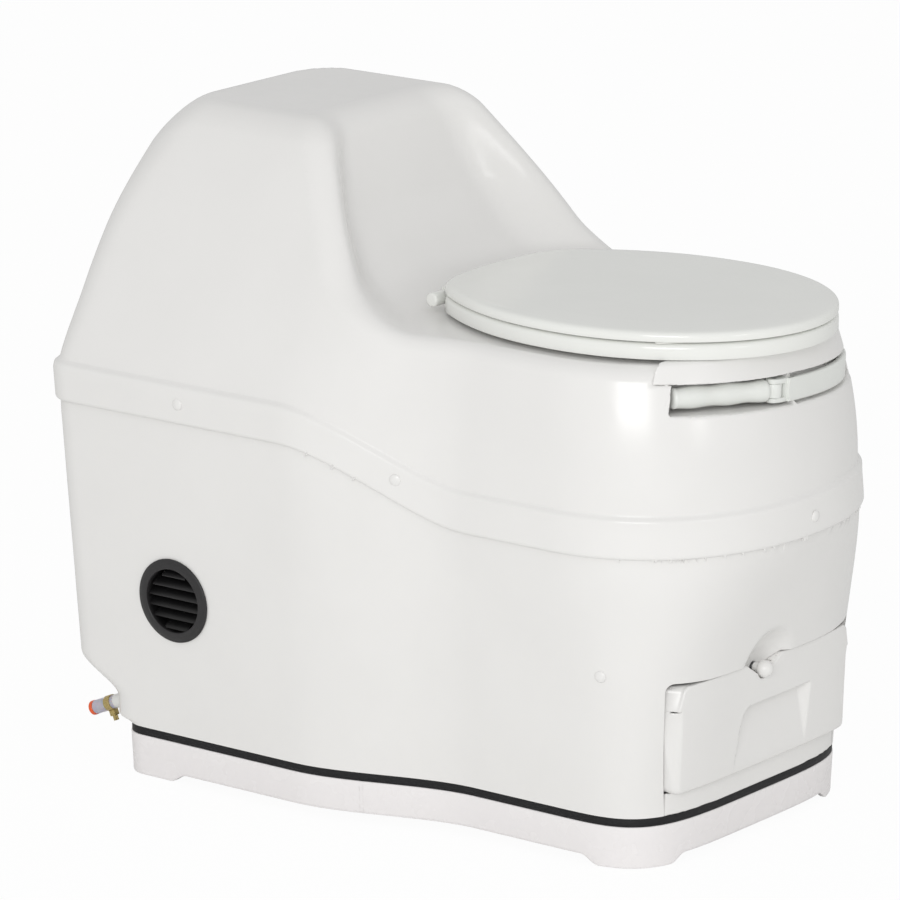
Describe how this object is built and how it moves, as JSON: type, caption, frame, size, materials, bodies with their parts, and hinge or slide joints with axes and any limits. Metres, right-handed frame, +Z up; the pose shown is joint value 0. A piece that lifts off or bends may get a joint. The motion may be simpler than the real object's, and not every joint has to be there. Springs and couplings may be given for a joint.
{
  "type": "composting toilet",
  "caption": "Self-contained composting toilet: two moulded shells on a base tray, tall scooped rear housing, round seat and lid, folding crank, louvred inlet, drawer with finger pocket.",
  "frame": {"origin": "centre of the footprint on the floor, under the rubber foot pads", "axes": "+Z up, the seat's front faces -Y, +X is the user's left when seated"},
  "size_m": [0.5724, 0.8849, 0.759],
  "materials": {
    "shell_plastic": "gloss white moulded acrylic over fibreglass",
    "base_plastic": "gloss white moulded tray, slightly warmer",
    "seal_rubber": "black extruded rubber",
    "seat_plastic": "gloss white moulded seat plastic",
    "crank_plastic": "satin white moulded plastic",
    "louvre_plastic": "black moulded plastic",
    "inner_plastic": "grey moulded plastic",
    "steel": "plain stainless steel",
    "pipe_plastic": "white pipe plastic",
    "hose_plastic": "translucent flexible hose",
    "clamp_zinc": "yellow zinc plated steel",
    "plug_plastic": "orange moulded plastic"
  },
  "bodies": {
    "casing": {"base_tray": "base_plastic", "foot_pads": "seal_rubber", "base_seal": "seal_rubber", "lower_shell": "shell_plastic", "front_sill": "shell_plastic", "upper_shell": "shell_plastic", "shell_screws": "steel", "screw_caps": "shell_plastic", "vent_louvre": "louvre_plastic", "bowl_liner": "shell_plastic", "hinge_posts": "seat_plastic", "hinge_pins": "seat_plastic", "crank_bushing": "inner_plastic", "drive_chain": "steel", "front_frame": "steel", "rear_frame": "steel", "front_bearing": "inner_plastic", "rear_bearing": "inner_plastic", "lock_guide": "inner_plastic", "drawer_runners": "steel", "evaporating_tray": "inner_plastic", "heater_element": "steel", "thermostat": "pipe_plastic", "fan_housing": "inner_plastic", "fan_motor": "inner_plastic", "vent_collar": "pipe_plastic", "drain_spigot": "pipe_plastic", "drain_hose": "hose_plastic", "hose_clamp": "clamp_zinc", "cable_gland": "louvre_plastic"},
    "seat": {"seat_ring": "seat_plastic", "seat_bumpers": "seat_plastic"},
    "lid": {"seat_lid": "seat_plastic", "lid_bumpers": "seat_plastic"},
    "crank": {"crank_arm": "crank_plastic", "grip_pin": "steel"},
    "grip": {"crank_grip": "crank_plastic"},
    "drive": {"crank_sleeve": "steel", "crank_sprocket": "steel"},
    "drum": {"drum_sprocket": "steel", "drum_axles": "steel", "drum_shell": "inner_plastic", "drum_front_disc": "inner_plastic", "drum_rear_disc": "inner_plastic", "mixing_bars": "steel", "door_pin": "steel"},
    "door": {"drum_door": "inner_plastic"},
    "lock": {"lock_knob": "shell_plastic", "lock_stem": "steel"},
    "drawer": {"finishing_drawer": "inner_plastic", "drawer_front": "shell_plastic"},
    "fan": {"fan_impeller": "louvre_plastic"},
    "plug": {"drain_plug": "plug_plastic"}
  },
  "joints": [
    {"name": "seat_lift", "type": "hinge", "parent": "casing", "child": "seat", "pos_m": [0, -0.005, 0.573], "axis": [-1, 0, 0], "range_deg": [0, 100]},
    {"name": "lid_lift", "type": "hinge", "parent": "seat", "child": "lid", "pos_m": [0, -0.005, 0.573], "axis": [1, 0, 0], "range_deg": [-105, 0]},
    {"name": "crank_pull", "type": "slide", "parent": "casing", "child": "crank", "axis": [0, -1, 0], "range_m": [0, 0.06]},
    {"name": "grip_fold", "type": "hinge", "parent": "crank", "child": "grip", "pos_m": [-0.03379, -0.407, 0.5165], "axis": [0.0489, 0, 0.9988], "range_deg": [0, 111]},
    {"name": "drum_turn", "type": "hinge", "parent": "casing", "child": "drum", "pos_m": [0, 0, 0.338], "axis": [0, 1, 0], "continuous": true},
    {"name": "crank_turn", "type": "hinge", "parent": "casing", "child": "drive", "pos_m": [0.14, -0.31, 0.508], "axis": [0, 1, 0], "continuous": true},
    {"name": "door_swing", "type": "hinge", "parent": "drum", "child": "door", "pos_m": [-0.059, -0.177, 0.46826], "axis": [0, 1, 0], "range_deg": [0, 70]},
    {"name": "lock_push", "type": "slide", "parent": "casing", "child": "lock", "axis": [0, 1, 0], "range_m": [0, 0.009]},
    {"name": "drawer_slide", "type": "slide", "parent": "casing", "child": "drawer", "axis": [0, -1, 0], "range_m": [0, 0.36]},
    {"name": "fan_spin", "type": "hinge", "parent": "casing", "child": "fan", "pos_m": [0, 0.367, 0.59], "axis": [0, 1, 0], "continuous": true},
    {"name": "plug_pull", "type": "slide", "parent": "casing", "child": "plug", "axis": [0, 0.9205, -0.3907], "range_m": [0, 0.02]}
  ],
  "couplings": [
    {"joint": "crank_turn", "follows": "drum_turn", "ratio": 3.2}
  ]
}
